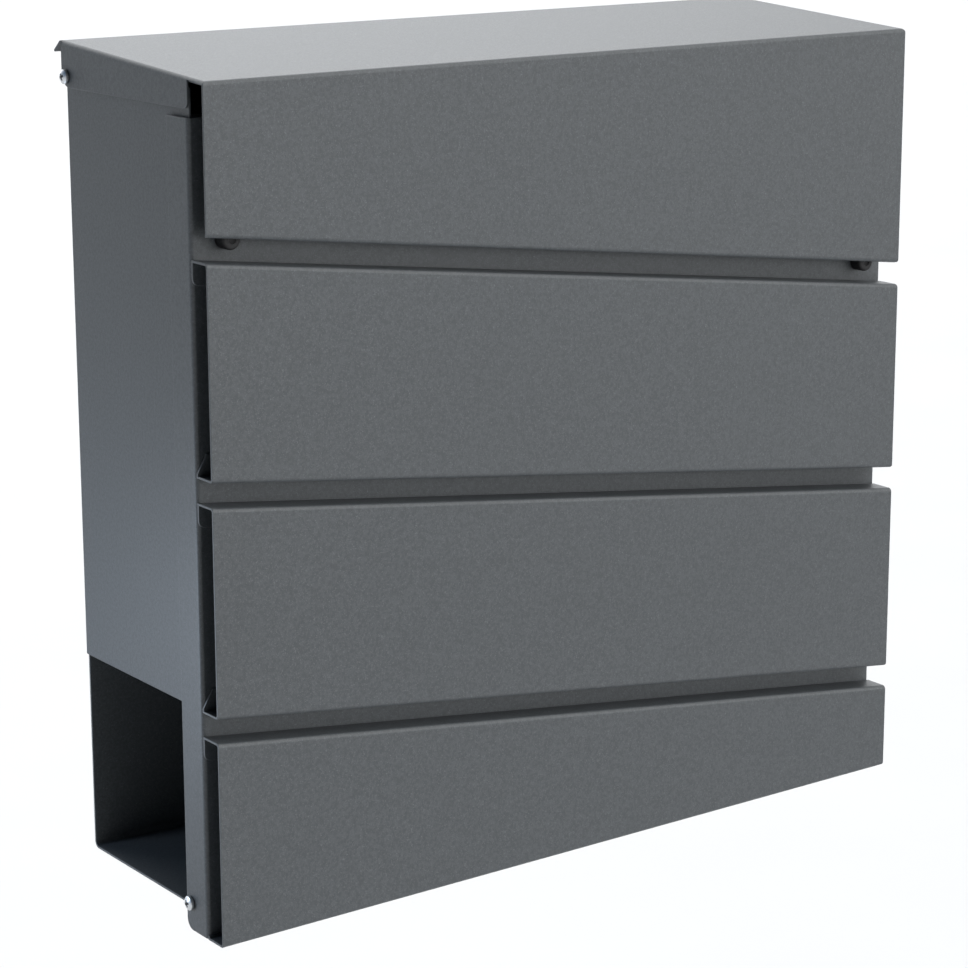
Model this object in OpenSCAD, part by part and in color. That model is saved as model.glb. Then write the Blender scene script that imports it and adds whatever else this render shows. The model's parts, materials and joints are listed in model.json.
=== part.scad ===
// Wall letterbox with a lift-up lid, a fold-down front door faced with three
// slanted slats, and an open-ended newspaper compartment at the bottom.
// Millimetres, +Z up. The origin lies on the wall, in the middle of the four
// wall holes, and the front faces -Y.

/* [Box] */
// Width over the lid and the door
body_w = 370; // [340:1:400]
// Height of the front, from the door's lower edge to the lid's front edge
front_h = 352.5; // [345:0.5:365]
// Rise of the roof from its front edge to its rear edge
roof_rise = 7.5; // [6:0.5:9]
// Depth from the slats' faces to the back panel's outer face
body_d = 113.5; // [105:0.5:140]
// Distance between the back panel and the wall
wall_gap = 11; // [10.5:0.5:14]
// Thickness of the steel sheet
sheet = 1; // [0.8:0.1:1.2]
// Outer radius of the bends
bend_r = 1.8; // [1.4:0.1:2.4]

/* [Slats] */
// Height of the lid's front panel at its left end
lid_front_h = 60; // [56:0.5:62]
// Height of a slat at its left end
slat_h = 87.4; // [84:0.2:89]
// Gap between two slats
slat_gap = 10; // [8:0.5:12]
// Drop of the slats' edges from the left end to the right end
slat_drop = 47.7; // [30:0.1:50]
// Distance that the slats' faces stand in front of the door plate
slat_proud = 12; // [11:0.5:14]
// Width of the lips that the slats are welded on by
slat_lip = 10; // [8:0.5:12]

/* [Lid] */
// Height of the cheeks' lower edge above the door's lower edge
cheek_low = 341; // [339:0.5:343]
// Height of the lid's hinge axis above the door's lower edge
lid_axis_h = 345.5; // [344:0.5:346]
// Distance of the lid's hinge axis from the back panel's outer face
lid_axis_in = 4.5; // [4.4:0.1:5]
// Length of the drip lip behind the roof
drip_len = 6.5; // [5:0.5:7]
// Angle of the drip lip below the horizontal
drip_angle = 39; // [30:1:45]
// Depth of the flange under the lid's front panel
grip_d = 5; // [3:0.5:5]

/* [Door] */
// Height of the door plate
door_h = 337.5; // [335:0.5:338]
// Depth of the door's side flanges
door_flange = 16.5; // [16:0.5:20]
// Height of the door's hinge axis above its lower edge
door_axis_h = 12; // [12:0.5:14]
// Distance of the door's hinge axis behind the slats' faces
door_axis_d = 25; // [24.5:0.5:25.5]
// Diameter of a bumper
bumper_dia = 8.5; // [7:0.5:9]
// Distance of the bumpers from the sides
bumper_in = 15; // [12:1:25]

/* [Newspaper compartment] */
// Height of the floor's underside above the door's lower edge
floor_h = 8; // [8:0.5:10]
// Height of the top of the end openings above the door's lower edge
shelf_h = 97; // [90:1:110]
// Distance of the end openings behind the slats' faces
opening_d = 30; // [29.5:0.5:36]

/* [Lock] */
// Height of the lock above the door's lower edge
lock_h = 306; // [304:0.5:308]
// Outer diameter of the lock's barrel
barrel_dia = 16; // [15:0.5:17]
// Length of the cam from the lock's axis to its tip
cam_len = 26; // [22:1:28]

/* [Wall holes] */
// Distance between the wall holes from side to side
hole_dx = 260; // [200:10:270]
// Distance between the wall holes from top to bottom
hole_dz = 230; // [220:5:235]
// Diameter of the wall holes
hole_dia = 5.5; // [4.5:0.5:7]

/* [Hidden] */
$fn = 64;

anthracite = [0.27, 0.29, 0.31];
zinc = [0.78, 0.79, 0.80];
black = [0.06, 0.06, 0.06];
brass = [0.75, 0.62, 0.35];

far = 500;                              // longer than anything in the box
over = 1;                               // overshoot of a cut
y_front = -(wall_gap + body_d);         // the slats' faces
z_low = -(front_h + roof_rise) / 2;     // the door's lower edge
roof_a = atan(roof_rise / body_d);
slat_a = atan(slat_drop / body_w);

// Heights of the slanted edges at the left end, above the door's lower edge
lid_edge = front_h - lid_front_h;
slat_step = slat_h + slat_gap;
slat_top = [for (i = [0:2]) lid_edge - slat_gap - i * slat_step];

// Housing: inset from the lid and the door, and clear of both as they turn
shell_step = 2;
shell_w = body_w - 2 * shell_step;
shell_in = body_w / 2 - 3.5;            // the end cuts take the bend away too
shell_front = slat_proud + 2;
shell_top_gap = 3.5;
shell_front_r = 6;
floor_front = shell_front + 1;
floor_r = 3;

// Fittings inside the housing
fit = 0.1;
fitted_w = shell_w - 2 * sheet - 2 * fit;
shelf_front = shell_front + 1.5;
shelf_back = body_d - sheet - fit;
shelf_lip = 10;
rail_front = shell_front + 0.5;
rail_back = rail_front + 11.5;
rail_top = door_h - 0.5;
rail_front_lip = 8;
rail_back_lip = 17;

// Hinge screws: M3 with a 6 mm pan head, in from the side
screw_dia = 3;
head_dia = 6;
head_h = 2.2;
head_gap = 0.3;
screw_len = 8;
recess_l = 3.2;
recess_w = 0.7;
recess_d = 1.3;
pin_play = 0.05;
washer_dia = 7;
washer_t = 0.6;
nut_af = 5.5;
nut_t = 2.4;
nut_play = 0.02;
lid_axis_d = body_d - lid_axis_in;

// Cheeks of the lid
cheek_back = body_d - 0.5;
cheek_front_r = 3;
cheek_back_r = 6;

// Bumpers
bumper_h = slat_proud - grip_d - 0.6;
bumper_neck = 5;
bumper_bulb = 7;
bumper_edge = 1.5;
bumper_drop = 0.8;                      // centre below the lid's front panel
bumper_x = [-body_w / 2 + bumper_in, body_w / 2 - bumper_in];

// Lock
bezel_dia = 20;
bezel_t = 2.5;
barrel_end = rail_back + 0.2;
plug_dia = 10;
plug_head_dia = 12;
plug_head_t = 1.8;
key_w = 1.4;
key_h = 7;
key_d = 14;
wafer_count = 5;
wafer_t = 0.8;
wafer_w = 6;
wafer_pitch = 2;
cam_front = barrel_end + 0.3;
cam_t = 2;
cam_w = 12;
cam_square = 7;
cam_screw_dia = 4;
cam_screw_len = 7;
lock_nut_af = 20;
lock_nut_t = 4;
lock_washer_t = 0.8;

spacer_dia = 16;
door_corner_r = 4.5;

// Ends of the slats' lips: the upper lips are rounded, and the lower ones are
// trimmed, at the free edge and at the bend
lip_r = 3;
slant_trim = [4.3, 0];
low_trim = [15, 15];

// --- Shapes shared by the parts ---------------------------------------------

// The child's outline has x as the depth behind the slats' faces and y as the
// height above the door's lower edge. It is drawn across the box, w wide.
module across(w, x = 0) {
    translate([x - w / 2, y_front, z_low])
        rotate([90, 0, 90]) linear_extrude(w) children();
}

// The same along a slanted edge that is h high at the box's left end: y is
// then the distance above that edge.
module along_slant(h, a) {
    translate([-body_w / 2, y_front, z_low + h])
        rotate([0, a, 0]) translate([-body_w / 2, 0, 0])
            rotate([90, 0, 90]) linear_extrude(2 * body_w) children();
}

// The child's outline lies in plan, x across the box and y as the depth. It
// is drawn from height h0 to height h1.
module upright(h0, h1) {
    translate([0, y_front, z_low + h0]) linear_extrude(h1 - h0) children();
}

// A round bar, or with a bore a tube, that runs back from depth d0 to d1
module round_back(x, h, d0, d1, dia, bore = 0) {
    translate([x, y_front + d1, z_low + h]) rotate([90, 0, 0])
        linear_extrude(d1 - d0) difference() {
            circle(d = dia);
            if (bore > 0) circle(d = bore);
        }
}

// A box given by its ranges across, in depth and in height
module block(x0, x1, d0, d1, h0, h1) {
    translate([x0, y_front + d0, z_low + h0]) cube([x1 - x0, d1 - d0, h1 - h0]);
}

// The part of a square corner that a fillet of radius r cuts off, for a
// corner at the origin whose sides run along +x and +y
module corner_2d(r) {
    difference() {
        translate([-over, -over]) square(r + over);
        translate([r, r]) circle(r);
    }
}

// A rectangle with a radius at each corner: lower left, lower right, upper
// right and upper left
module plate_2d(x0, x1, y0, y1, r) {
    difference() {
        translate([x0, y0]) square([x1 - x0, y1 - y0]);
        if (r[0] > 0) translate([x0, y0]) corner_2d(r[0]);
        if (r[1] > 0) translate([x1, y0]) mirror([1, 0]) corner_2d(r[1]);
        if (r[2] > 0) translate([x1, y1]) rotate(180) corner_2d(r[2]);
        if (r[3] > 0) translate([x0, y1]) mirror([0, 1]) corner_2d(r[3]);
    }
}

module both_sides() {
    children();
    mirror([1, 0, 0]) children();
}

// --- Fasteners ----------------------------------------------------------------

// Places the child on a hinge axis, in from the right side: z points out of
// the box, and z = 0 is the outer face of the lid and the door
module on_axis(d, h) {
    translate([body_w / 2, y_front + d, z_low + h]) rotate([0, 90, 0]) children();
}

module pan_screw() {
    translate([0, 0, head_gap]) difference() {
        rotate_extrude() intersection() {
            translate([0, -0.001]) square([head_dia / 2, head_h]);
            translate([0, head_h - 4.2]) circle(4.2);
        }
        for (a = [0, 90]) rotate([0, 0, a + 20])
            translate([-recess_l / 2, -recess_w / 2, head_h - recess_d])
                cube([recess_l, recess_w, recess_d + over]);
    }
    translate([0, 0, head_gap - screw_len]) cylinder(d = screw_dia, h = screw_len);
}

module ring(dia, bore, t) {
    linear_extrude(t) difference() {
        circle(d = dia);
        circle(d = bore);
    }
}

module hex_nut(af, bore, t) {
    linear_extrude(t) difference() {
        circle(d = af / cos(30), $fn = 6);
        circle(d = bore);
    }
}

module hinge_screws(d, h) {
    both_sides() on_axis(d, h) pan_screw();
}

module hinge_washers(d, h) {
    both_sides() on_axis(d, h) translate([0, 0, -shell_step])
        ring(washer_dia, screw_dia + fit, washer_t);
}

// The nuts' flats face the back panel (turn 0) or the floor (turn 30)
module hinge_nuts(d, h, turn) {
    both_sides() on_axis(d, h) translate([0, 0, -shell_step - sheet - nut_t])
        rotate([0, 0, turn]) hex_nut(nut_af, screw_dia + nut_play, nut_t);
}

// The cut that lets a hinge screw through a sheet
module hinge_hole(d, h) {
    both_sides() on_axis(d, h)
        translate([0, 0, -10]) cylinder(d = screw_dia + 2 * pin_play, h = 20);
}

// --- Housing --------------------------------------------------------------------

// Solid block with the housing's bends, smaller by inset on the closed sides
module housing_block(inset) {
    r = bend_r - inset;
    top = front_h - sheet - shell_top_gap;
    intersection() {
        upright(0, far)
            plate_2d(-shell_w / 2 + inset, shell_w / 2 - inset, inset > 0 ? 0 : shell_front,
                body_d - inset, [0, 0, r, r]);
        across(far) difference() {
            plate_2d(inset > 0 ? 0 : shell_front, body_d - inset, floor_h + inset, far,
                [0, floor_r - inset, 0, 0]);
            if (inset == 0) translate([0, top]) rotate(roof_a)
                translate([-over, 0]) square(far);
        }
    }
}

module wall_holes() {
    for (x = [-1, 1], z = [-1, 1])
        translate([x * hole_dx / 2, over, z * hole_dz / 2])
            rotate([90, 0, 0]) cylinder(d = hole_dia, h = wall_gap + sheet + 2 * over);
}

module housing_shell() {
    color(anthracite) difference() {
        housing_block(0);
        housing_block(sheet);
        both_sides() block(shell_in, far, opening_d, body_d + over, 0, shelf_h);
        block(-far, far, 0, floor_front, 0, floor_h + sheet / 2);
        block(-shell_in + 2, shell_in - 2, 0, floor_front, 0, floor_h + 2 * sheet);
        across(2 * body_w) translate([shell_front, floor_h]) corner_2d(shell_front_r);
        wall_holes();
        hinge_hole(lid_axis_d, lid_axis_h);
        hinge_hole(door_axis_d, door_axis_h);
    }
}

// Floor of the letter compartment, a pan with lips on all four sides
module mail_shelf() {
    r = bend_r - sheet;
    color(anthracite) difference() {
        upright(shelf_h, shelf_h + shelf_lip) plate_2d(-fitted_w / 2, fitted_w / 2,
            shelf_front, shelf_back, [bend_r, bend_r, bend_r, bend_r]);
        upright(shelf_h + sheet, far) plate_2d(-fitted_w / 2 + sheet, fitted_w / 2 - sheet,
            shelf_front + sheet, shelf_back - sheet, [r, r, r, r]);
    }
}

// Rail across the top of the door opening: the lock's cam turns up behind
// its rear lip
module front_rail() {
    color(anthracite) {
        block(-fitted_w / 2, fitted_w / 2, rail_front, rail_back, rail_top - sheet, rail_top);
        block(-fitted_w / 2, fitted_w / 2, rail_front, rail_front + sheet,
            rail_top - rail_front_lip, rail_top);
        block(-fitted_w / 2, fitted_w / 2, rail_back - sheet, rail_back,
            rail_top - rail_back_lip, rail_top);
    }
}

module wall_spacers() {
    color(black) for (x = [-1, 1], z = [-1, 1])
        translate([x * hole_dx / 2, 0, z * hole_dz / 2])
            rotate([90, 0, 0]) ring(spacer_dia, hole_dia, wall_gap);
}

module lid_hinge_screws() { color(zinc) hinge_screws(lid_axis_d, lid_axis_h); }

module lid_hinge_washers() { color(zinc) hinge_washers(lid_axis_d, lid_axis_h); }

module lid_hinge_nuts() { color(zinc) hinge_nuts(lid_axis_d, lid_axis_h, 0); }

module door_hinge_screws() { color(zinc) hinge_screws(door_axis_d, door_axis_h); }

module door_hinge_washers() { color(zinc) hinge_washers(door_axis_d, door_axis_h); }

module door_hinge_nuts() { color(zinc) hinge_nuts(door_axis_d, door_axis_h, 30); }

// --- Lid ------------------------------------------------------------------------

// Everything behind the front face and under the roof, both moved in by
// inset, with a fillet of radius r where they meet
module roof_2d(inset, r) {
    roof_0 = front_h - inset / cos(roof_a);
    fillet_d = inset + r;
    fillet_h = roof_0 + fillet_d * tan(roof_a) - r / cos(roof_a);
    polygon([[inset, 0], [inset, fillet_h], [fillet_d, fillet_h],
        [fillet_d - r * sin(roof_a), fillet_h + r * cos(roof_a)],
        [far, roof_0 + far * tan(roof_a)], [far, 0]]);
    translate([fillet_d, fillet_h]) circle(r);
}

// Solid block with the lid's bends, smaller by inset on the closed sides
module lid_block(inset) {
    r = bend_r - inset;
    intersection() {
        across(body_w) roof_2d(inset, r);
        along_slant(lid_edge, slat_a)
            plate_2d(inset, body_d + inset, inset, far, [r, 0, 0, 0]);
        translate([0, y_front, z_low + front_h]) rotate([90 + roof_a, 0, 0])
            translate([0, 0, -far / 2]) linear_extrude(far)
                plate_2d(-body_w / 2 + inset, body_w / 2 - inset, -far, -inset, [0, 0, r, r]);
    }
}

// What is cut out of the lid's side walls to leave the cheeks
module cheek_cut_2d() {
    difference() {
        roof_2d(sheet, bend_r - sheet);
        plate_2d(slat_proud, cheek_back, cheek_low, far, [cheek_front_r, 0, 0, 0]);
    }
    intersection() {
        translate([cheek_back, cheek_low]) mirror([1, 0]) corner_2d(cheek_back_r);
        translate([0, cheek_low - over]) square([far, cheek_back_r + over]);
    }
}

// What is cut off an end of the flange under the front panel, at 45 degrees
module grip_end_2d() {
    run = grip_d - bend_r + over;
    translate([-body_w / 2, bend_r])
        polygon([[-over, 0], [0, 0], [run, run], [-over, run]]);
}

// The drip lip, bent down behind the roof's rear edge
module drip_lip() {
    bend_d = body_d - sheet * sin(roof_a);
    bend_h = front_h + body_d * tan(roof_a) - sheet / cos(roof_a);
    across(body_w) translate([bend_d, bend_h]) {
        circle(sheet);
        rotate(-drip_angle) square([drip_len, sheet]);
    }
}

module lid_sheet() {
    color(anthracite) difference() {
        union() {
            difference() {
                lid_block(0);
                lid_block(sheet);
                block(-far, far, grip_d, body_d + over, 0, cheek_low - 2 * over);
                both_sides() upright(0, cheek_low - 2 * over) grip_end_2d();
                both_sides() across(2 * sheet, body_w / 2) cheek_cut_2d();
            }
            drip_lip();
        }
        hinge_hole(lid_axis_d, lid_axis_h);
    }
}

// --- Door -----------------------------------------------------------------------

// Height of a bumper's centre, just under the lid's slanted edge at x
function bumper_at(x) = lid_edge - (x + body_w / 2) * tan(slat_a) - bumper_drop;

// Solid block with the door plate's bends, smaller by inset at the closed sides
module door_block(inset) {
    r = bend_r - inset;
    upright(0, door_h)
        plate_2d(-body_w / 2 + inset, body_w / 2 - inset, slat_proud + inset,
            slat_proud + door_flange + inset, [r, r, 0, 0]);
}

module door_plate() {
    color(anthracite) difference() {
        door_block(0);
        door_block(sheet);
        across(2 * body_w) translate([slat_proud + door_flange, 0])
            mirror([1, 0]) corner_2d(door_corner_r);
        hinge_hole(door_axis_d, door_axis_h);
        round_back(0, lock_h, 0, far, barrel_dia + fit);
        for (x = bumper_x) round_back(x, bumper_at(x), 0, far, bumper_neck + fit);
    }
}

// Solid with the outline of a slat whose upper edge is top high and whose
// lower edge is low high at the left end, smaller by inset on the closed sides
module slat_block(top, low, low_a, inset, back) {
    r = max(bend_r - inset, 0);
    intersection() {
        block(-body_w / 2 - inset, body_w / 2 + inset, 0, far, -over, front_h);
        along_slant(top, slat_a) plate_2d(inset, back, -far, -inset, [0, 0, 0, r]);
        along_slant(low, low_a) plate_2d(inset, back, inset, far, [r, 0, 0, 0]);
    }
}

// One slat, a channel that is open at both ends and stands on two lips
module slat(top, low, low_a, trim) {
    color(anthracite) difference() {
        slat_block(top, low, low_a, 0, slat_proud);
        slat_block(top, low, low_a, sheet, slat_proud - sheet);
        slat_block(top, low, low_a, slat_lip, far);
        for (side = [0, 1]) {
            run = side * body_w;
            lip_end(side, top - run * tan(slat_a) - slat_lip, 0)
                round_end_2d(lip_r, side == 0 ? slat_a : -slat_a);
            lip_end(side, low - run * tan(low_a) + slat_lip, 1)
                slant_end_2d(trim, side == 0 ? -low_a : low_a);
        }
    }
}

// Places a cut at the end of a slat's lip, at the left end (side 0) or the
// right end (side 1), where the lip's free edge is h high. In the outline, x
// runs inward along the lip and y away from its free edge.
module lip_end(side, h, flip) {
    translate([(side - 0.5) * body_w, y_front + slat_proud + over, z_low + h])
        rotate([90, 0, 0]) linear_extrude(over + 1.5 * sheet)
            mirror([side, 0]) mirror([0, flip]) children();
}

// The cut that rounds the corner between the slat's end (x = 0) and the
// lip's free edge, which falls by a along x
module round_end_2d(r, a) {
    h = r * (1 - sin(a)) / cos(a);
    difference() {
        polygon([[-over, h], [r, h], [r - r * sin(a), h - r * cos(a)],
            [r - (r + over) * sin(a), h - (r + over) * cos(a)], [-over, -over]]);
        translate([r, h]) circle(r);
    }
}

// The cut that trims the lip by trim[0] at its free edge and trim[1] at its
// bend
module slant_end_2d(trim, a) {
    polygon([[-over, -over], [trim[0], -trim[0] * tan(a) - over],
        [trim[0], -trim[0] * tan(a)], [trim[1], slat_lip - bend_r],
        [-over, slat_lip - bend_r]]);
}

module slat_upper() { slat(slat_top[0], slat_top[0] - slat_h, slat_a, slant_trim); }

module slat_middle() { slat(slat_top[1], slat_top[1] - slat_h, slat_a, slant_trim); }

module slat_lower() { slat(slat_top[2], 0, 0, low_trim); }

// Rubber bumper that the lid's front panel closes against
module bumper(x) {
    r = bumper_dia / 2;
    color(black) translate([x, y_front + slat_proud, z_low + bumper_at(x)])
        rotate([90, 0, 0]) rotate_extrude() {
            square([r, bumper_h - bumper_edge]);
            square([r - bumper_edge, bumper_h]);
            intersection() {
                translate([r - bumper_edge, bumper_h - bumper_edge]) circle(bumper_edge);
                square([r, bumper_h]);
            }
            translate([0, -sheet]) square([bumper_neck / 2, sheet]);
            translate([0, -sheet - 2]) square([bumper_bulb / 2, 2]);
        }
}

module bumper_left() { bumper(bumper_x[0]); }

module bumper_right() { bumper(bumper_x[1]); }

// --- Lock -----------------------------------------------------------------------

module lock_barrel() {
    color(zinc) difference() {
        union() {
            round_back(0, lock_h, slat_proud - bezel_t, slat_proud, bezel_dia);
            round_back(0, lock_h, slat_proud, barrel_end, barrel_dia);
        }
        round_back(0, lock_h, 0, far, plug_dia + fit);
        round_back(0, lock_h, 0, slat_proud - bezel_t + plug_head_t + fit, plug_head_dia + fit);
    }
}

module lock_washer() {
    color(zinc) round_back(0, lock_h, slat_proud + sheet, slat_proud + sheet + lock_washer_t,
        lock_nut_af + 2, barrel_dia + fit);
}

module lock_nut() {
    front = slat_proud + sheet + lock_washer_t;
    color(zinc) translate([0, y_front + front + lock_nut_t, z_low + lock_h])
        rotate([90, 0, 0]) hex_nut(lock_nut_af, barrel_dia + nut_play, lock_nut_t);
}

// Depth of a wafer's front face
function wafer_at(i) = slat_proud + 1 + i * wafer_pitch;

module wafer_2d(grow) {
    intersection() {
        square([wafer_w + grow, plug_dia], center = true);
        circle(d = plug_dia - 0.3 + grow);
    }
}

// Draws the child's outline round the lock's axis, from depth d0 to d1
module on_lock(d0, d1) {
    translate([0, y_front + d1, z_low + lock_h]) rotate([90, 0, 0])
        linear_extrude(d1 - d0) children();
}

module lock_plug() {
    front = slat_proud - bezel_t;
    color(brass) difference() {
        union() {
            on_lock(front, front + plug_head_t) circle(d = plug_head_dia);
            on_lock(front, cam_front) circle(d = plug_dia);
            on_lock(front, cam_front + cam_t) square(cam_square, center = true);
        }
        on_lock(front - over, front + key_d) square([key_w, key_h], center = true);
        for (i = [0:wafer_count - 1])
            on_lock(wafer_at(i), wafer_at(i) + wafer_t + 0.1) wafer_2d(0.1);
        on_lock(cam_front + cam_t - cam_screw_len + over, far) circle(d = cam_screw_dia + nut_play);
    }
}

module lock_wafers() {
    color(zinc) for (i = [0:wafer_count - 1])
        on_lock(wafer_at(i) + 0.05, wafer_at(i) + 0.05 + wafer_t) difference() {
            wafer_2d(0);
            square([key_w + 1, key_h - 1.5], center = true);
        }
}

// The cam, turned to the side, where it lets the door open
module lock_cam() {
    color(zinc) on_lock(cam_front, cam_front + cam_t) difference() {
        union() {
            circle(d = cam_w + 2);
            translate([0, -cam_w / 2]) square([cam_len - cam_w / 2, cam_w]);
            translate([cam_len - cam_w / 2, 0]) circle(d = cam_w);
        }
        square(cam_square + nut_play, center = true);
    }
}

module cam_washer() {
    front = cam_front + cam_t;
    color(zinc) round_back(0, lock_h, front, front + 1, 10, cam_screw_dia + fit);
}

module cam_screw() {
    front = cam_front + cam_t + 1;
    color(zinc) difference() {
        union() {
            round_back(0, lock_h, front - cam_screw_len, front, cam_screw_dia);
            round_back(0, lock_h, front, front + 2.4, 8);
        }
        for (a = [0, 90]) translate([0, y_front + front + 2.4, z_low + lock_h])
            rotate([0, a, 0]) cube([4, 3, 0.8], center = true);
    }
}

housing_shell();
mail_shelf();
front_rail();
wall_spacers();
lid_hinge_screws();
lid_hinge_washers();
lid_hinge_nuts();
door_hinge_screws();
door_hinge_washers();
door_hinge_nuts();
lid_sheet();
door_plate();
slat_upper();
slat_middle();
slat_lower();
bumper_left();
bumper_right();
lock_barrel();
lock_washer();
lock_nut();
lock_plug();
lock_wafers();
lock_cam();
cam_washer();
cam_screw();
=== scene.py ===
"""Looks of the wall letterbox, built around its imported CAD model."""

import json
import math

import bmesh
import bpy
from mathutils import Matrix, Vector


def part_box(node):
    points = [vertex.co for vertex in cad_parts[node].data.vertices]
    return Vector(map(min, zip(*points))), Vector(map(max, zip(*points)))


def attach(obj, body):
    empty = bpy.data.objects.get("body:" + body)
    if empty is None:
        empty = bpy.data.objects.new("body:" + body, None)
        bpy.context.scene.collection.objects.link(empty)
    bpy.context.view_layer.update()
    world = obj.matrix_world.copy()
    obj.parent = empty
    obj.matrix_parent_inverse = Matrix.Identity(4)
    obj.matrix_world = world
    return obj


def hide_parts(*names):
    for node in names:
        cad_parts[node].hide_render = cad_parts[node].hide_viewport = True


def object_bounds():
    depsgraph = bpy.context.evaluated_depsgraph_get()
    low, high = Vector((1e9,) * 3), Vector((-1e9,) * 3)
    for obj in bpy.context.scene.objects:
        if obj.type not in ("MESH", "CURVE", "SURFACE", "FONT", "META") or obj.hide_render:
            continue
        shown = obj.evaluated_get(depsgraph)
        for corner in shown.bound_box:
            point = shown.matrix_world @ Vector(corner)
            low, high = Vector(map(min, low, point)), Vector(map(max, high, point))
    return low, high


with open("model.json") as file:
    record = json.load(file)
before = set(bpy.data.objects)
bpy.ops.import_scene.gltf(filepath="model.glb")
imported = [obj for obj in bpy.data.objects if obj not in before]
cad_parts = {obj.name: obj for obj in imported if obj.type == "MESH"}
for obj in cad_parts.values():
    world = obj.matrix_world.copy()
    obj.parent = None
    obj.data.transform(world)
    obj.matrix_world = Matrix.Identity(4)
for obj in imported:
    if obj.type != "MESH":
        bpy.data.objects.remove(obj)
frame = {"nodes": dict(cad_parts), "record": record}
cad_lo, cad_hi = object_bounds()

MM = 0.001


# --- Materials ------------------------------------------------------------------

# Cosine between the true normal and the one rounded over a radius
FLAT_COS, EDGE_COS = 1.0, 0.75
# Share of the surroundings that a point sees
RECESS_OPEN, FACE_OPEN = 0.35, 0.85
# Range that most of a noise's values fall in
NOISE_LOW, NOISE_HIGH = 0.3, 0.7


def srgb(r, g, b):
    """Linear colour of an sRGB colour given as 0 to 255."""
    return tuple(
        c / 12.92 if c <= 0.04045 else ((c + 0.055) / 1.055) ** 2.4
        for c in (r / 255, g / 255, b / 255)
    ) + (1.0,)


class Nodes:
    """A material with a Principled shader, and short ways to add nodes to it."""

    def __init__(self, name):
        self.material = bpy.data.materials.new(name)
        self.material.use_nodes = True
        self.tree = self.material.node_tree
        self.shader = self.tree.nodes["Principled BSDF"]
        self.coords = self.tree.nodes.new("ShaderNodeTexCoord").outputs["Object"]

    def link(self, out, into):
        self.tree.links.new(out, into)

    def set(self, **values):
        """Sets uniform values on the shader's sockets."""
        for name, value in values.items():
            self.shader.inputs[name.replace("_", " ")].default_value = value

    def noise(self, scale, detail=2.0, rough=0.5):
        """Noise with features about 1/scale metres wide, from 0 to 1."""
        node = self.tree.nodes.new("ShaderNodeTexNoise")
        node.inputs["Scale"].default_value = scale
        node.inputs["Detail"].default_value = detail
        node.inputs["Roughness"].default_value = rough
        self.link(self.coords, node.inputs["Vector"])
        return node.outputs["Fac"]

    def spread(self, fac, low, high, out_low=0.0, out_high=1.0):
        """fac from low to high becomes out_low to out_high."""
        node = self.tree.nodes.new("ShaderNodeMapRange")
        node.inputs["From Min"].default_value = low
        node.inputs["From Max"].default_value = high
        node.inputs["To Min"].default_value = out_low
        node.inputs["To Max"].default_value = out_high
        self.link(fac, node.inputs["Value"])
        return node.outputs["Result"]

    def mix(self, fac, a, b):
        """Colour a where fac is 0, b where it is 1. Each is a colour or a socket."""
        node = self.tree.nodes.new("ShaderNodeMix")
        node.data_type = "RGBA"
        self.link(fac, node.inputs[0])
        for value, socket in ((a, node.inputs[6]), (b, node.inputs[7])):
            if isinstance(value, tuple):
                socket.default_value = value
            else:
                self.link(value, socket)
        return node.outputs[2]

    def add(self, a, b, factor=1.0):
        """a + factor * b."""
        node = self.tree.nodes.new("ShaderNodeMath")
        node.operation = "MULTIPLY_ADD"
        node.inputs[1].default_value = factor
        self.link(b, node.inputs[0])
        self.link(a, node.inputs[2])
        return node.outputs[0]

    def edge(self, radius):
        """0 on flat faces, up to about 1 on sharp edges within radius metres."""
        bevel = self.tree.nodes.new("ShaderNodeBevel")
        bevel.inputs["Radius"].default_value = radius
        bevel.samples = 4
        geometry = self.tree.nodes.new("ShaderNodeNewGeometry")
        dot = self.tree.nodes.new("ShaderNodeVectorMath")
        dot.operation = "DOT_PRODUCT"
        self.link(bevel.outputs["Normal"], dot.inputs[0])
        self.link(geometry.outputs["Normal"], dot.inputs[1])
        return self.spread(dot.outputs["Value"], FLAT_COS, EDGE_COS)

    def recess_shade_mask(self, reach):
        """1 in the open, lower in recesses about reach metres deep, from ambient
        occlusion; it masks painted shade.
        """
        node = self.tree.nodes.new("ShaderNodeAmbientOcclusion")
        node.inputs["Distance"].default_value = reach
        node.samples = 8
        return self.spread(node.outputs["AO"], RECESS_OPEN, FACE_OPEN)

    def bump(self, height, distance, strength):
        """Bumps the surface by height, which spans distance metres."""
        node = self.tree.nodes.new("ShaderNodeBump")
        node.inputs["Distance"].default_value = distance
        node.inputs["Strength"].default_value = strength
        self.link(height, node.inputs["Height"])
        self.link(node.outputs["Normal"], self.shader.inputs["Normal"])

    def paint(self, colour):
        self.link(colour, self.shader.inputs["Base Color"])

    def roughen(self, fac, low, high):
        """Roughness from low to high over most of the noise fac."""
        rough = self.spread(fac, NOISE_LOW, NOISE_HIGH, low, high)
        self.link(rough, self.shader.inputs["Roughness"])


def powder_coat():
    """Fine-textured matt powder coat: grains, lighter flecks and a painted highlight along
    sharp edges.
    """
    n = Nodes("powder_coat_anthracite")
    cloud = n.noise(9, detail=3)
    grain = n.noise(1700, detail=3, rough=0.65)
    coarse = n.noise(760, detail=2)
    base = n.mix(cloud, srgb(64, 68, 71), srgb(68, 72, 75))
    mottled = n.mix(n.spread(coarse, 0.38, 0.62), base, srgb(57, 61, 64))
    fleck = n.spread(grain, 0.56, 0.74)
    coat = n.mix(fleck, mottled, srgb(92, 96, 99))
    # Painted highlight: a lighter colour along sharp edges, where light would catch the
    # rounded sheet edges
    coat_with_edge_highlight = n.mix(n.edge(0.0006), coat, srgb(84, 88, 91))
    n.paint(coat_with_edge_highlight)
    n.roughen(grain, 0.42, 0.56)
    n.bump(n.add(grain, coarse, 0.8), 0.00012, 0.5)
    return n.material


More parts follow.
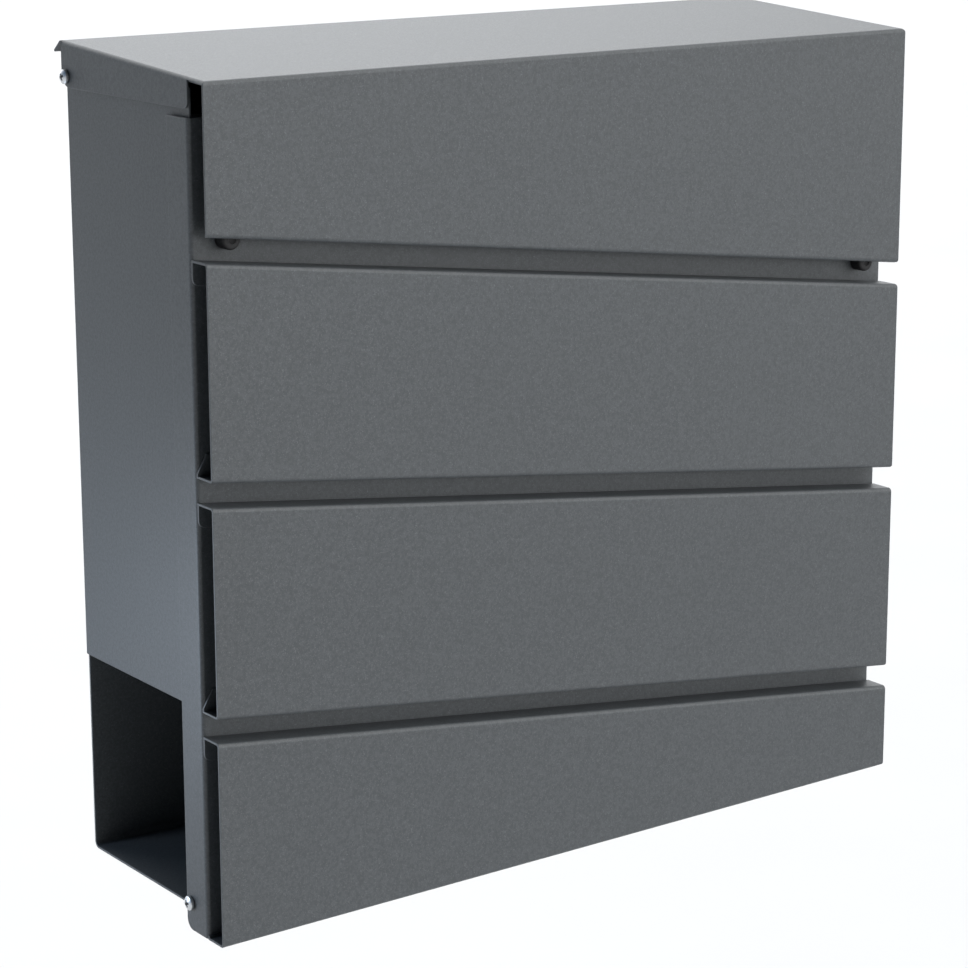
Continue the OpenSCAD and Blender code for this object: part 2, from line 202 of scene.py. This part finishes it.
def zinc():
    """Bright zinc-plated steel with a faint grain and painted shade darkening its
    recesses.
    """
    n = Nodes("zinc_plated")
    n.set(Metallic=1.0)
    cloud = n.noise(260, detail=3)
    fine = n.noise(5200, detail=2)
    bright = n.mix(cloud, srgb(188, 191, 194), srgb(210, 212, 213))
    # Painted shade: recesses turn dark grey by ambient occlusion, where light would hardly
    # reach
    n.paint(n.mix(n.recess_shade_mask(0.0012), srgb(72, 74, 77), bright))
    n.roughen(cloud, 0.32, 0.46)
    n.bump(fine, 0.00002, 0.4)
    return n.material


def rubber():
    n = Nodes("black_rubber")
    cloud = n.noise(300, detail=3)
    fine = n.noise(2600, detail=3)
    n.paint(n.mix(cloud, srgb(13, 13, 15), srgb(24, 24, 26)))
    n.roughen(fine, 0.62, 0.82)
    n.bump(fine, 0.00005, 0.6)
    return n.material


def black_plastic():
    n = Nodes("black_plastic")
    cloud = n.noise(60, detail=2)
    fine = n.noise(1900, detail=3)
    n.paint(n.mix(cloud, srgb(26, 26, 27), srgb(36, 36, 37)))
    n.roughen(fine, 0.42, 0.56)
    n.bump(fine, 0.00004, 0.5)
    return n.material


def brass():
    """Machined brass, slightly cloudy, with a fine grain."""
    n = Nodes("machined_brass")
    n.set(Metallic=1.0)
    cloud = n.noise(150, detail=3)
    fine = n.noise(4000, detail=2)
    n.paint(n.mix(cloud, srgb(196, 166, 98), srgb(214, 188, 122)))
    n.roughen(cloud, 0.24, 0.4)
    n.bump(fine, 0.00002, 0.4)
    return n.material


FINISHES = {
    "powder_coat": powder_coat(),
    "zinc": zinc(),
    "rubber_black": rubber(),
    "plastic_black": black_plastic(),
    "lock_brass": brass(),
}

SLOT_OF = {part["node"]: part["material_slot"] for part in frame["record"]["subparts"]}
BODY_OF = {
    node: body
    for body, nodes in frame["record"]["behaviour"]["bodies"].items()
    for node in nodes
}


# --- Mesh helpers ---------------------------------------------------------------

MERGE_DIST = 1e-6
FLAT_DEG = 0.5
CORNER_DEG = 35
BEVEL_SEGMENTS = 2


def shade(bm, angle):
    """Smooth shading, broken at edges sharper than angle, in degrees."""
    for face in bm.faces:
        face.smooth = True
    for edge in bm.edges:
        sharp = edge.is_manifold and edge.calc_face_angle() > math.radians(angle)
        edge.smooth = not sharp


def add_piece(name, bm, node, weighted=False):
    """bm becomes a piece that stands for the CAD node and moves with its body."""
    mesh = bpy.data.meshes.new(name)
    bm.to_mesh(mesh)
    bm.free()
    piece = bpy.data.objects.new(name, mesh)
    bpy.context.collection.objects.link(piece)
    if weighted:
        normals = piece.modifiers.new("normals", "WEIGHTED_NORMAL")
        normals.weight = 100
        normals.keep_sharp = True
    mesh.materials.append(FINISHES[SLOT_OF[node]])
    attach(piece, BODY_OF[node])
    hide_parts(node)
    return piece


def soft_edged(node, width):
    """The CAD node with every outer edge rounded over, as coating or tumbling does."""
    bm = bmesh.new()
    bm.from_mesh(frame["nodes"][node].data)
    bmesh.ops.remove_doubles(bm, verts=bm.verts, dist=MERGE_DIST)
    bmesh.ops.dissolve_limit(
        bm, angle_limit=math.radians(FLAT_DEG), verts=bm.verts, edges=bm.edges
    )
    edges = [
        e for e in bm.edges
        if e.is_manifold and e.is_convex and e.calc_face_angle() > math.radians(CORNER_DEG)
    ]
    bmesh.ops.bevel(
        bm, geom=edges, offset=width, offset_type="OFFSET", segments=BEVEL_SEGMENTS,
        profile=0.5, affect="EDGES", clamp_overlap=False,
    )
    shade(bm, 50)
    add_piece(node + "_soft", bm, node, weighted=True)


def arc(x, y, r, start, end, steps):
    """Points of an arc round (x, y), from start to end in degrees."""
    angles = [math.radians(start + (end - start) * i / steps) for i in range(steps + 1)]
    return [(x + r * math.cos(a), y + r * math.sin(a)) for a in angles]


def lathe(bm, profile, segments):
    """A body of revolution round Z. The profile is (radius, height), in mm, and
    starts and ends on the axis."""
    rings = []
    for r, z in profile:
        count = 1 if r < 1e-9 else segments
        rings.append([
            bm.verts.new((
                r * MM * math.cos(2 * math.pi * i / segments),
                r * MM * math.sin(2 * math.pi * i / segments),
                z * MM,
            ))
            for i in range(count)
        ])
    for low, high in zip(rings, rings[1:]):
        for i in range(segments):
            corners = [low[i % len(low)], low[(i + 1) % len(low)],
                       high[(i + 1) % len(high)], high[i % len(high)]]
            face = list(dict.fromkeys(corners))
            if len(face) > 2:
                bm.faces.new(face)
    bmesh.ops.recalc_face_normals(bm, faces=bm.faces)


def subtract(bm, cutter):
    """bm less cutter, as a new bmesh. Both given are used up."""
    both = []
    for each in (bm, cutter):
        mesh = bpy.data.meshes.new("part")
        each.to_mesh(mesh)
        each.free()
        both.append(bpy.data.objects.new("part", mesh))
        bpy.context.collection.objects.link(both[-1])
    cut = both[0].modifiers.new("cut", "BOOLEAN")
    cut.object = both[1]
    cut.operation = "DIFFERENCE"
    cut.solver = "EXACT"
    depsgraph = bpy.context.evaluated_depsgraph_get()
    out = bmesh.new()
    out.from_mesh(both[0].evaluated_get(depsgraph).data)
    for each in both:
        mesh = each.data
        bpy.data.objects.remove(each)
        bpy.data.meshes.remove(mesh)
    return out


# --- Fasteners and bumpers ------------------------------------------------------

# Screws, in mm along and around their axis
SCREW_R = 1.5
HEAD_LOW, HEAD_TOP, HEAD_R = 0.3, 2.5, 3.0
DOME_R = 5.2
SEAT_FILLET, RIM_STEP = 0.25, 0.12
# The cross recess: height, reach of its arms and half their width
CROSS_MOUTH = (HEAD_TOP + 0.4, 2.05, 0.62)
CROSS_FLOOR = (HEAD_TOP - 1.35, 0.75, 0.28)
CROSS_TIP = HEAD_TOP - 1.6
CROSS_TURN = 20
SHANK_END, PLAIN_FROM = -7.7, -1.0
THREAD_PITCH, THREAD_DEPTH, THREAD_PLAY = 0.5, 0.24, 0.02
THREAD_SIDES, THREAD_ROWS = 24, 6
TIP_TAPER, TIP_ROWS = 0.25, 3

# Bumpers, in mm
SHEET = 1.0
BARB_LENGTH = 2.0
STEM_R, BARB_R, BARB_END = 2.5, 3.45, -3
FOOT_FILLET, FACE_FILLET, LIP_FILLET = 0.3, 1.3, 0.35
DIMPLE_R, DIMPLE_DEPTH = 1.2, 0.55


def screw_head():
    """Pan head with a cross recess, seated at HEAD_LOW and facing +Z."""
    dome_z = HEAD_TOP - DOME_R
    rim = math.degrees(math.acos((HEAD_R - RIM_STEP) / DOME_R))
    bm = bmesh.new()
    profile = [(0, HEAD_LOW), (HEAD_R - SEAT_FILLET, HEAD_LOW)]
    profile += arc(HEAD_R - SEAT_FILLET, HEAD_LOW + SEAT_FILLET, SEAT_FILLET, -70, 0, 4)
    profile += [(HEAD_R, dome_z + DOME_R * math.sin(math.radians(rim)) - RIM_STEP)]
    profile += arc(0, dome_z, DOME_R, rim, 88, 12) + [(0, HEAD_TOP)]
    lathe(bm, profile, 64)

    cross = bmesh.new()
    rings = []
    for z, reach, half in (CROSS_MOUTH, CROSS_FLOOR):
        ring = []
        for turn in range(4):
            a = math.radians(90 * turn + CROSS_TURN)
            for x, y in ((reach, -half), (reach, half), (half, half)):
                ring.append(cross.verts.new((
                    MM * (x * math.cos(a) - y * math.sin(a)),
                    MM * (x * math.sin(a) + y * math.cos(a)),
                    MM * z,
                )))
        rings.append(ring)
    count = len(rings[0])
    for i in range(count):
        j = (i + 1) % count
        cross.faces.new([rings[0][i], rings[0][j], rings[1][j], rings[1][i]])
    tip = cross.verts.new((0, 0, MM * CROSS_TIP))
    for i in range(count):
        cross.faces.new([rings[1][i], rings[1][(i + 1) % count], tip])
    cross.faces.new(rings[0])
    bmesh.ops.recalc_face_normals(cross, faces=cross.faces)
    return subtract(bm, cross)


def screw_thread(bm):
    """Threaded shank from the head down to its end, with its crests at SCREW_R."""
    rows = int((HEAD_LOW - SHANK_END) / THREAD_PITCH * THREAD_ROWS)
    rings = []
    for row in range(rows + 1):
        z = SHANK_END + (HEAD_LOW - SHANK_END) * row / rows
        ring = []
        for i in range(THREAD_SIDES):
            phase = (row / THREAD_ROWS - i / THREAD_SIDES) % 1.0
            depth = THREAD_DEPTH * abs(2 * phase - 1)
            taper = max(0.0, 1 - row / TIP_ROWS) * TIP_TAPER
            fade = 0.0 if z > PLAIN_FROM else 1.0
            r = (SCREW_R - THREAD_PLAY - depth * fade - taper) * MM
            a = 2 * math.pi * i / THREAD_SIDES
            ring.append(bm.verts.new((r * math.cos(a), r * math.sin(a), z * MM)))
        rings.append(ring)
    for low, high in zip(rings, rings[1:]):
        for i in range(THREAD_SIDES):
            j = (i + 1) % THREAD_SIDES
            bm.faces.new([low[i], low[j], high[j], high[i]])
    bm.faces.new(rings[0][::-1])
    bm.faces.new(rings[-1])


def hinge_screws(node):
    """A pair of screws on a hinge axis, in from both sides of the box."""
    lo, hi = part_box(node)
    axis_y, axis_z = (lo.y + hi.y) / 2, (lo.z + hi.z) / 2
    face = hi.x - HEAD_TOP * MM
    pair = bmesh.new()
    for side in (1, -1):
        one = screw_head()
        screw_thread(one)
        turn = Matrix.Rotation(side * math.pi / 2, 4, "Y")
        place = Matrix.Translation((side * face, axis_y, axis_z))
        one.transform(place @ turn)
        mesh = bpy.data.meshes.new("one")
        one.to_mesh(mesh)
        one.free()
        pair.from_mesh(mesh)
        bpy.data.meshes.remove(mesh)
    shade(pair, 32)
    add_piece(node + "_phillips", pair, node)


def bumper(node):
    """Rubber stop with a rounded face and a shallow dimple, snapped into the door."""
    lo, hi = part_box(node)
    r = (hi.x - lo.x) / 2 / MM
    length = (hi.y - lo.y) / MM
    tall = length - SHEET - BARB_LENGTH
    barb = [(0, BARB_END), (1.9, BARB_END)] + arc(2.3, -1.9, 1.15, -100, 0, 6)
    stem = [(BARB_R, -1.2), (STEM_R, -0.95), (STEM_R, 0), (r - FOOT_FILLET, 0)]
    foot = arc(r - FOOT_FILLET, FOOT_FILLET, FOOT_FILLET, -60, 0, 3)
    face = arc(r - FACE_FILLET, tall - FACE_FILLET, FACE_FILLET, 0, 90, 8)
    lip = [(1.9, tall)] + arc(1.9, tall - LIP_FILLET, LIP_FILLET, 100, 180, 4)
    dimple = [(DIMPLE_R, tall - DIMPLE_DEPTH), (0, tall - DIMPLE_DEPTH)]
    profile = barb + stem + foot + face + lip + dimple
    bm = bmesh.new()
    lathe(bm, profile, 56)
    turn = Matrix.Rotation(math.pi / 2, 4, "X")
    base = lo.y + tall * MM
    bm.transform(Matrix.Translation(((lo.x + hi.x) / 2, base, (lo.z + hi.z) / 2)) @ turn)
    shade(bm, 40)
    add_piece(node + "_rubber", bm, node)


# Width of the rounded edges, in mm
SOFT_EDGES = {
    "housing_shell": 0.22, "mail_shelf": 0.22, "front_rail": 0.22, "lid_sheet": 0.22,
    "door_plate": 0.22, "slat_upper": 0.22, "slat_middle": 0.22, "slat_lower": 0.22,
    "wall_spacers": 0.6, "lid_hinge_washers": 0.12, "lid_hinge_nuts": 0.2,
    "door_hinge_washers": 0.12, "door_hinge_nuts": 0.2, "lock_barrel": 0.35,
    "lock_washer": 0.15, "lock_nut": 0.35, "lock_plug": 0.12, "lock_wafers": 0.06,
    "lock_cam": 0.25, "cam_washer": 0.12, "cam_screw": 0.12,
}


# --- Stage ----------------------------------------------------------------------

CAMERA_PLACE = (-0.741, -1.062, 0.288)
CAMERA_LENS, CAMERA_SENSOR = 106.2, 36
CAMERA_SHIFT = (0.011, -0.06)
CAMERA_TURN, CAMERA_TILT, CAMERA_ROLL = -36.06, 90 - 12.96, -0.18
FLOOR_HALF, FLOOR_DROP = 60, 0.9

# Each lobe of light: the direction it comes from, the cosines to that direction
# where it starts and where it is full, its strength and its colour
SKY = (
    ((0, 0, 1), -1.1, -1.0, 0.03, (1.0, 1.0, 1.0)),
    ((0.5, -0.25, 0.85), 0.80, 0.97, 3.2, (1.0, 1.0, 1.0)),
    ((0.22, 0.88, 0.42), 0.62, 0.97, 3.12, (0.98, 1.0, 1.02)),
    ((-0.9, 0.4, 0.3), 0.6, 0.95, 0.16, (0.35, 0.75, 1.35)),
    ((0.5, -0.86, 0.0), 0.62, 0.97, 3.75, (1.0, 1.0, 1.0)),
)


def make_camera():
    data = bpy.data.cameras.new("camera")
    data.lens = CAMERA_LENS
    data.sensor_width = CAMERA_SENSOR
    data.shift_x, data.shift_y = CAMERA_SHIFT
    data.clip_end = 100
    camera = bpy.data.objects.new("camera", data)
    camera.location = CAMERA_PLACE
    turn = Matrix.Rotation(math.radians(CAMERA_TURN), 3, "Z")
    tilt = Matrix.Rotation(math.radians(CAMERA_TILT), 3, "X")
    roll = Matrix.Rotation(math.radians(CAMERA_ROLL), 3, "Z")
    camera.rotation_euler = (turn @ tilt @ roll).to_euler()
    bpy.context.collection.objects.link(camera)
    bpy.context.scene.camera = camera


def area_light(name, place, target, size, power, colour):
    """Rectangular light at place that faces target and is itself unseen."""
    data = bpy.data.lights.new(name, "AREA")
    data.shape = "RECTANGLE"
    data.size, data.size_y = size
    data.energy = power
    data.color = colour
    light = bpy.data.objects.new(name, data)
    light.location = place
    way = Vector(target) - Vector(place)
    light.rotation_euler = way.to_track_quat("-Z", "Y").to_euler()
    light.visible_camera = False
    bpy.context.collection.objects.link(light)


def make_world():
    """White to the eye; as a light, the sum of SKY's soft lobes."""
    world = bpy.data.worlds.new("studio")
    world.use_nodes = True
    tree = world.node_tree
    tree.nodes.clear()
    add, link = tree.nodes.new, tree.links.new
    way = add("ShaderNodeTexCoord").outputs["Generated"]
    total = None
    for axis, low, high, strength, colour in SKY:
        dot = add("ShaderNodeVectorMath")
        dot.operation = "DOT_PRODUCT"
        dot.inputs[1].default_value = Vector(axis).normalized()
        link(way, dot.inputs[0])
        ramp = add("ShaderNodeMapRange")
        ramp.interpolation_type = "SMOOTHSTEP"
        ramp.inputs["From Min"].default_value = low
        ramp.inputs["From Max"].default_value = high
        ramp.inputs["To Max"].default_value = strength
        link(dot.outputs["Value"], ramp.inputs["Value"])
        lobe = add("ShaderNodeBackground")
        lobe.inputs["Color"].default_value = colour + (1.0,)
        link(ramp.outputs["Result"], lobe.inputs["Strength"])
        if total is None:
            total = lobe.outputs[0]
        else:
            both = add("ShaderNodeAddShader")
            link(total, both.inputs[0])
            link(lobe.outputs[0], both.inputs[1])
            total = both.outputs[0]
    white = add("ShaderNodeBackground")
    seen = add("ShaderNodeMixShader")
    white.inputs["Color"].default_value = (1.0, 1.0, 1.0, 1.0)
    link(add("ShaderNodeLightPath").outputs["Is Camera Ray"], seen.inputs[0])
    link(total, seen.inputs[1])
    link(white.outputs[0], seen.inputs[2])
    link(seen.outputs[0], add("ShaderNodeOutputWorld").inputs["Surface"])
    bpy.context.scene.world = world


def make_floor():
    """A pale floor well below the box, which hangs on a wall."""
    mesh = bpy.data.meshes.new("floor")
    half = FLOOR_HALF
    corners = [(-half, -half, 0), (half, -half, 0), (half, half, 0), (-half, half, 0)]
    mesh.from_pydata(corners, [], [(0, 1, 2, 3)])
    floor = bpy.data.objects.new("floor", mesh)
    floor.location = (0, 0, cad_lo.z - FLOOR_DROP)
    n = Nodes("floor_white")
    n.paint(n.mix(n.noise(3), srgb(219, 219, 219), srgb(223, 223, 223)))
    n.set(Roughness=0.8)
    mesh.materials.append(n.material)
    bpy.context.collection.objects.link(floor)


# --- Build ----------------------------------------------------------------------

for node, width in SOFT_EDGES.items():
    soft_edged(node, width * MM)
for node in ("lid_hinge_screws", "door_hinge_screws"):
    hinge_screws(node)
for node in ("bumper_left", "bumper_right"):
    bumper(node)
make_camera()
make_world()
make_floor()
area_light(
    "left", place=(-0.37, 0.03, -0.105), target=(-0.18, -0.03, -0.12),
    size=(0.06, 0.10), power=0.30, colour=(0.8, 0.95, 1.15),
)
bpy.context.scene.view_settings.view_transform = "Standard"
